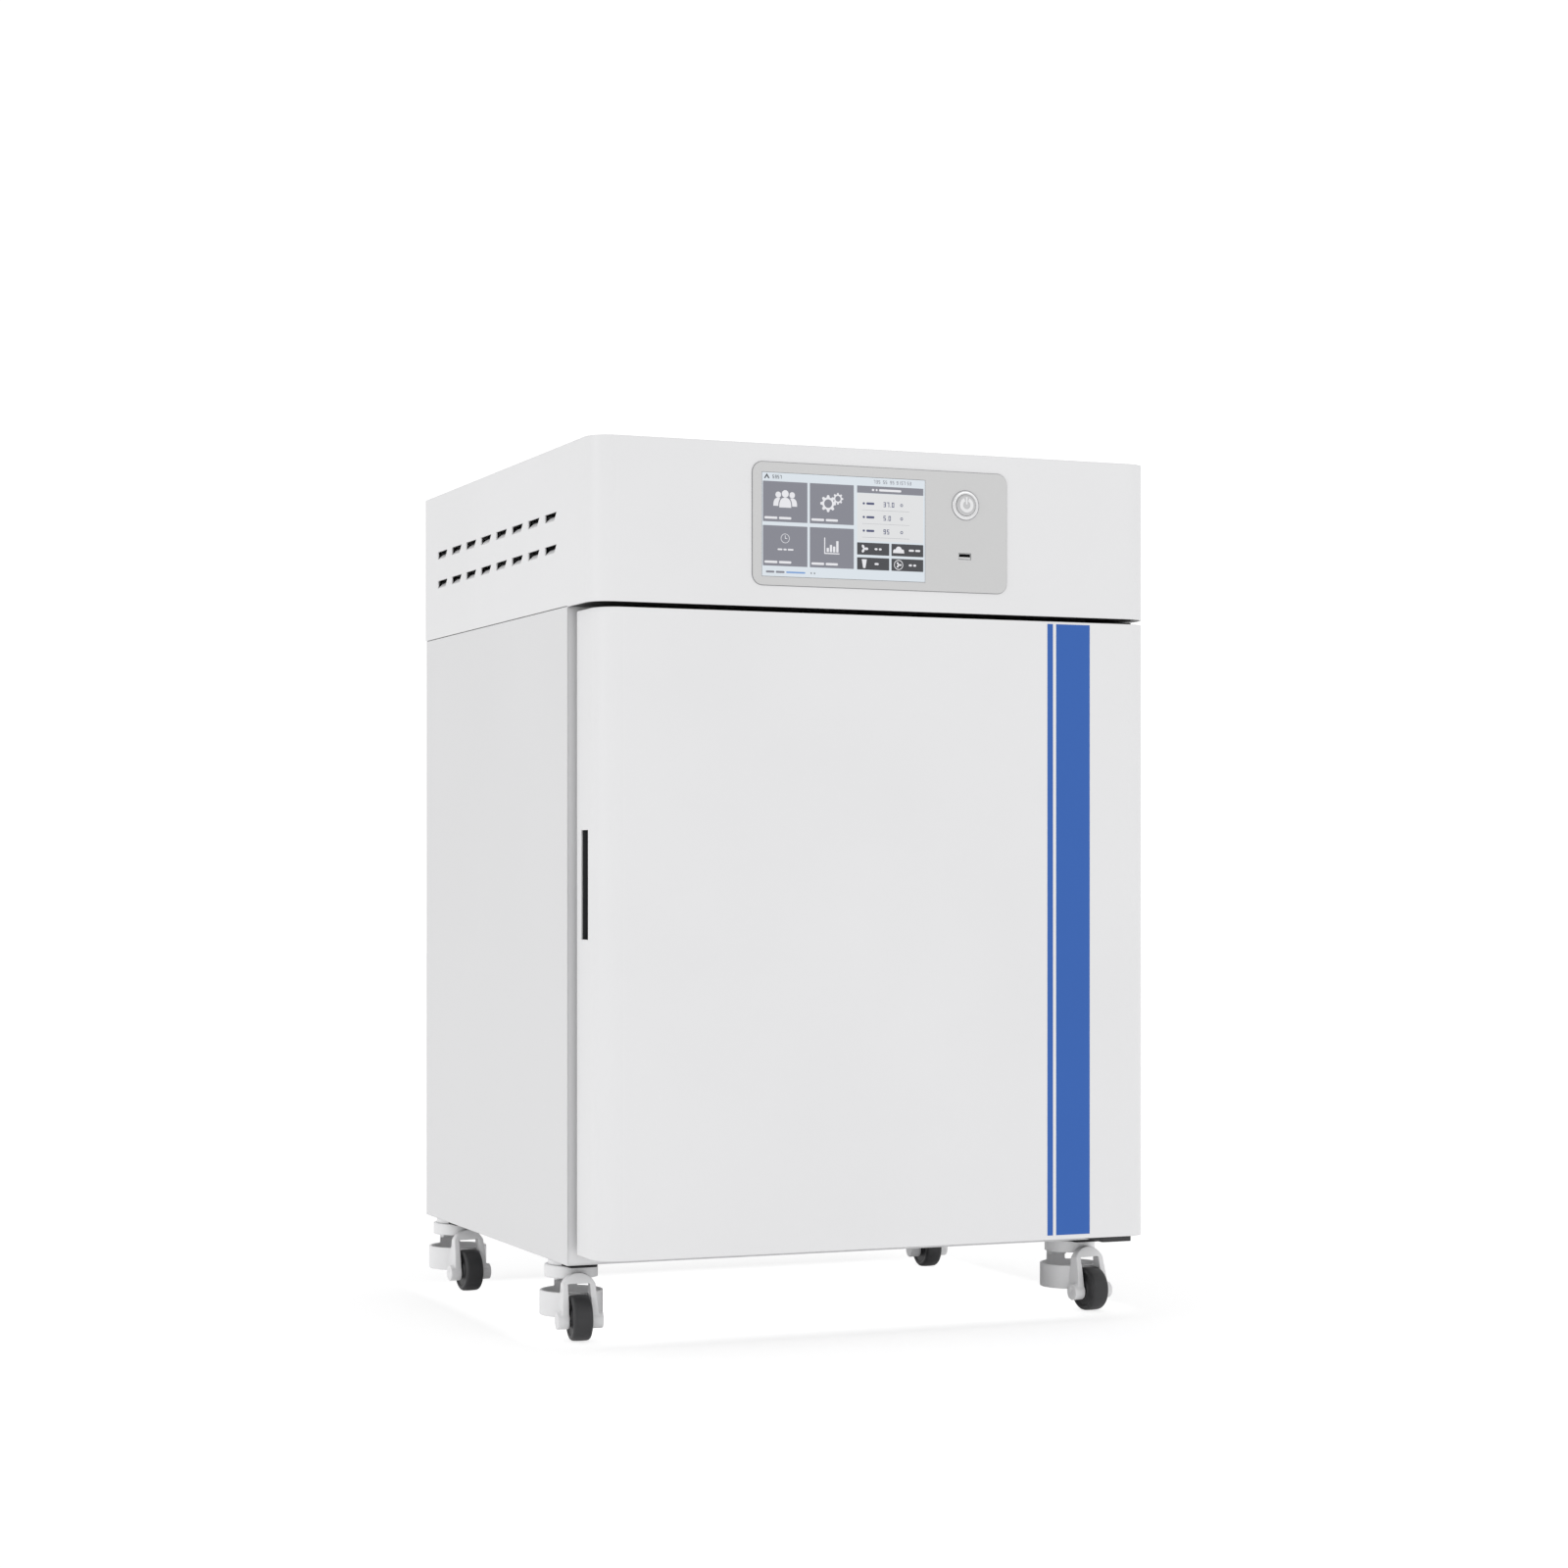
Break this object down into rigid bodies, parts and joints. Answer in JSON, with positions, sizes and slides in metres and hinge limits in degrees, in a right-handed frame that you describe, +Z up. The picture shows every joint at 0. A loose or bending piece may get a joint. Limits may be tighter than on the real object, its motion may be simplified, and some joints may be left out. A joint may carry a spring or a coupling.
{
  "type": "carbon dioxide incubator",
  "caption": "Floor-standing carbon dioxide incubator with a solid outer door, a glass inner door, perforated shelves, a water tray and a control head, on swivel castors.",
  "frame": {"origin": "on the floor, at the middle of the whole object in plan", "axes": "+X to the right and -Y towards the person who faces the door, +Z up"},
  "size_m": [0.618, 0.6134, 0.874],
  "materials": {
    "painted_white": "satin powder coat",
    "painted_side": "satin powder coat",
    "stainless": "brushed",
    "insulation": "matte wool",
    "heater_film": "matte",
    "filter_white": "pleated paper",
    "silicone": "matte",
    "grey_rubber": "matte",
    "black_metal": "satin",
    "dark_plastic": "matte",
    "panel_grey": "satin",
    "screen": "gloss",
    "circuit_board": "satin",
    "satin_silver": "satin",
    "brass": "satin",
    "tube_white": "satin",
    "stripe_blue": "satin film",
    "clear_glass": "clear",
    "castor_plastic": "moulded",
    "wheel_rubber": "satin"
  },
  "bodies": {
    "root": {"outer_shell": "painted_side", "back_panel": "painted_side", "base_rails": "stainless", "front_collar": "painted_white", "chamber_liner": "stainless", "insulation": "insulation", "chamber_heater": "heater_film", "shelf_rails": "stainless", "fan_shroud": "stainless", "fan_motor": "dark_plastic", "air_filter": "filter_white", "temperature_probe": "stainless", "gas_sensor": "stainless", "access_sleeve": "silicone", "port_plug": "grey_rubber", "inner_seal": "silicone", "latch_keeper": "stainless", "inner_hinge_pins": "stainless", "head_cover": "painted_white", "head_lid": "painted_white", "head_tray": "black_metal", "head_back_panel": "painted_side", "display_bezel": "panel_grey", "touch_screen": "screen", "control_board": "circuit_board", "power_switch": "satin_silver", "data_socket": "stainless", "power_supply": "satin_silver", "power_inlet": "dark_plastic", "gas_inlet": "brass", "gas_valve": "dark_plastic", "gas_tube": "tube_white", "panel_screws": "satin_silver", "hinge_bottom": "black_metal", "hinge_top": "black_metal", "castor_stems": "castor_plastic"},
    "door": {"door_skin": "painted_white", "door_core": "insulation", "door_liner": "stainless", "door_seal": "grey_rubber", "grip_cup": "dark_plastic", "door_stripes": "stripe_blue", "door_bushes": "tube_white"},
    "glass_door": {"glass_pane": "clear_glass", "glass_hinges": "stainless"},
    "latch": {"latch_lever": "dark_plastic"},
    "shelf_1": {"shelf_1": "stainless"},
    "shelf_2": {"shelf_2": "stainless"},
    "shelf_3": {"shelf_3": "stainless"},
    "water_tray": {"water_tray": "stainless"},
    "fan": {"fan_wheel": "stainless"},
    "button": {"power_button": "satin_silver"},
    "castor_fl": {"castor_frame_fl": "castor_plastic"},
    "wheel_fl": {"wheel_fl": "wheel_rubber"},
    "castor_fr": {"castor_frame_fr": "castor_plastic"},
    "wheel_fr": {"wheel_fr": "wheel_rubber"},
    "castor_rl": {"castor_frame_rl": "castor_plastic"},
    "wheel_rl": {"wheel_rl": "wheel_rubber"},
    "castor_rr": {"castor_frame_rr": "castor_plastic"},
    "wheel_rr": {"wheel_rr": "wheel_rubber"}
  },
  "joints": [
    {"name": "door_hinge", "type": "hinge", "parent": "root", "child": "door", "pos_m": [0.283, -0.2543, 0.388], "axis": [0, 0, 1], "range_deg": [0, 110]},
    {"name": "glass_door_hinge", "type": "hinge", "parent": "root", "child": "glass_door", "pos_m": [0.219, -0.2243, 0.388], "axis": [0, 0, 1], "range_deg": [0, 110]},
    {"name": "latch_turn", "type": "hinge", "parent": "glass_door", "child": "latch", "pos_m": [-0.196, -0.2263, 0.388], "axis": [0, 1, 0], "range_deg": [0, 90]},
    {"name": "shelf_1_slide", "type": "slide", "parent": "root", "child": "shelf_1", "axis": [0, -1, 0], "range_m": [0, 0.15]},
    {"name": "shelf_2_slide", "type": "slide", "parent": "root", "child": "shelf_2", "axis": [0, -1, 0], "range_m": [0, 0.15]},
    {"name": "shelf_3_slide", "type": "slide", "parent": "root", "child": "shelf_3", "axis": [0, -1, 0], "range_m": [0, 0.15]},
    {"name": "water_tray_slide", "type": "slide", "parent": "root", "child": "water_tray", "axis": [0, -1, 0], "range_m": [0, 0.15]},
    {"name": "fan_spin", "type": "hinge", "parent": "root", "child": "fan", "pos_m": [0, 0.1837, 0.553], "axis": [0, 1, 0], "continuous": true},
    {"name": "button_press", "type": "slide", "parent": "root", "child": "button", "axis": [0, 1, 0], "range_m": [0, 0.0025], "stiffness_N_per_m": 500, "springref_m": -0.001},
    {"name": "castor_fl_swivel", "type": "hinge", "parent": "root", "child": "castor_fl", "pos_m": [-0.2775, -0.1708, 0.066], "axis": [0, 0, 1], "continuous": true},
    {"name": "castor_fr_swivel", "type": "hinge", "parent": "root", "child": "castor_fr", "pos_m": [0.2775, -0.1708, 0.066], "axis": [0, 0, 1], "continuous": true},
    {"name": "castor_rl_swivel", "type": "hinge", "parent": "root", "child": "castor_rl", "pos_m": [-0.2775, 0.2237, 0.066], "axis": [0, 0, 1], "continuous": true},
    {"name": "castor_rr_swivel", "type": "hinge", "parent": "root", "child": "castor_rr", "pos_m": [0.2775, 0.2237, 0.066], "axis": [0, 0, 1], "continuous": true},
    {"name": "wheel_fl_roll", "type": "hinge", "parent": "castor_fl", "child": "wheel_fl", "pos_m": [-0.28167, -0.20857, 0.0225], "axis": [0.994, -0.1097, 0], "continuous": true},
    {"name": "wheel_fr_roll", "type": "hinge", "parent": "castor_fr", "child": "wheel_fr", "pos_m": [0.28134, -0.20861, 0.0225], "axis": [0.9949, 0.1011, 0], "continuous": true},
    {"name": "wheel_rl_roll", "type": "hinge", "parent": "castor_rl", "child": "wheel_rl", "pos_m": [-0.27578, 0.18574, 0.0225], "axis": [0.999, 0.0454, 0], "continuous": true},
    {"name": "wheel_rr_roll", "type": "hinge", "parent": "castor_rr", "child": "wheel_rr", "pos_m": [0.2775, 0.1857, 0.0225], "axis": [1, 0, 0], "continuous": true}
  ],
  "couplings": [
    {"joint": "glass_door_hinge", "follows": "door_hinge", "ratio": 1},
    {"joint": "shelf_1_slide", "follows": "door_hinge", "m_per_rad": 0.078},
    {"joint": "shelf_2_slide", "follows": "door_hinge", "m_per_rad": 0.078},
    {"joint": "shelf_3_slide", "follows": "door_hinge", "m_per_rad": 0.078},
    {"joint": "water_tray_slide", "follows": "door_hinge", "m_per_rad": 0.078}
  ]
}
